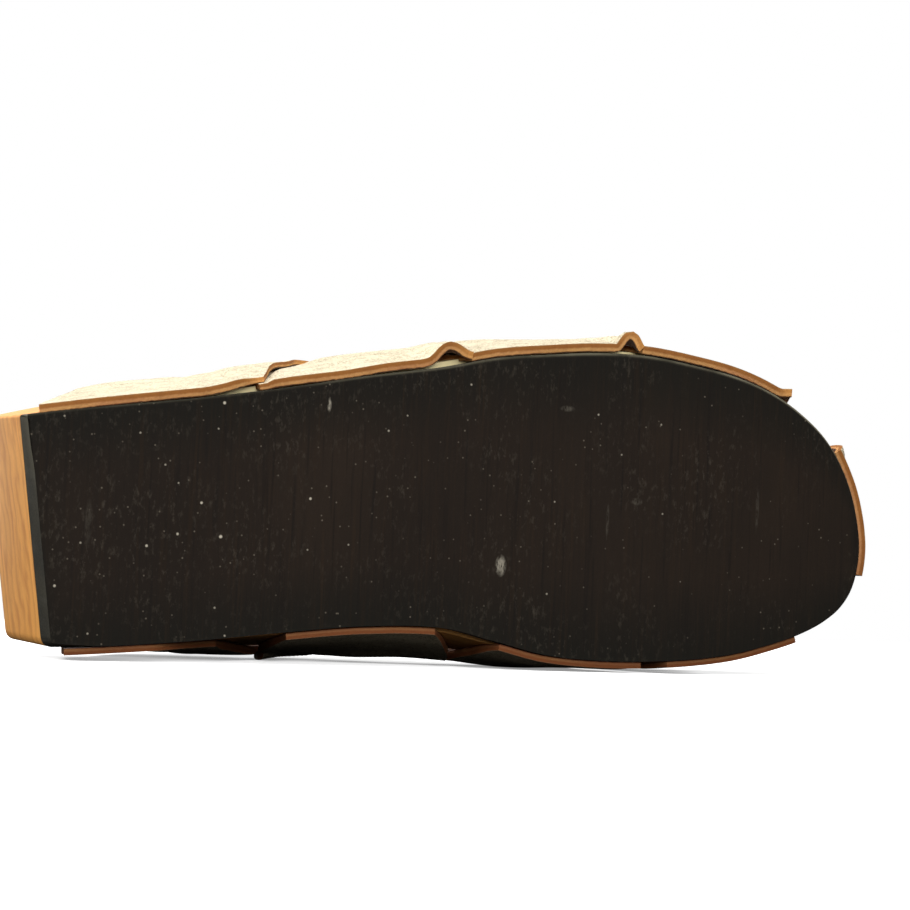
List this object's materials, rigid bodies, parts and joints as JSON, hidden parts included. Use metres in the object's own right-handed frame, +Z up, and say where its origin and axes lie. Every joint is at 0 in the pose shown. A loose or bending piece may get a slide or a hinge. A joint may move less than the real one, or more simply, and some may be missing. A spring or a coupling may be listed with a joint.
{
  "type": "wooden platform sandal",
  "caption": "Backless wooden platform sandal for the right foot, with broad crossed leather straps and a flat rubber outsole, lying on its inner side.",
  "frame": {"origin": "middle of the object's outline on the floor it lies on, with the shoe on its inner side", "axes": "+X from heel to toe, +Y from the outsole towards the upper, +Z up, from the shoe's inner side to its outer side"},
  "size_m": [0.2664, 0.1154, 0.1017],
  "materials": {
    "outsole_rubber": "matt near-black rubber with fine scratches and dust",
    "platform_wood": "clear-finished pale wood",
    "insole_leather": "plain tan leather sock",
    "strap_leather": "cream crackled face over tan leather, cut edges left raw"
  },
  "bodies": {
    "root": {"outsole": "outsole_rubber", "platform": "platform_wood", "insole": "insole_leather", "upper": "strap_leather"}
  },
  "joints": []
}
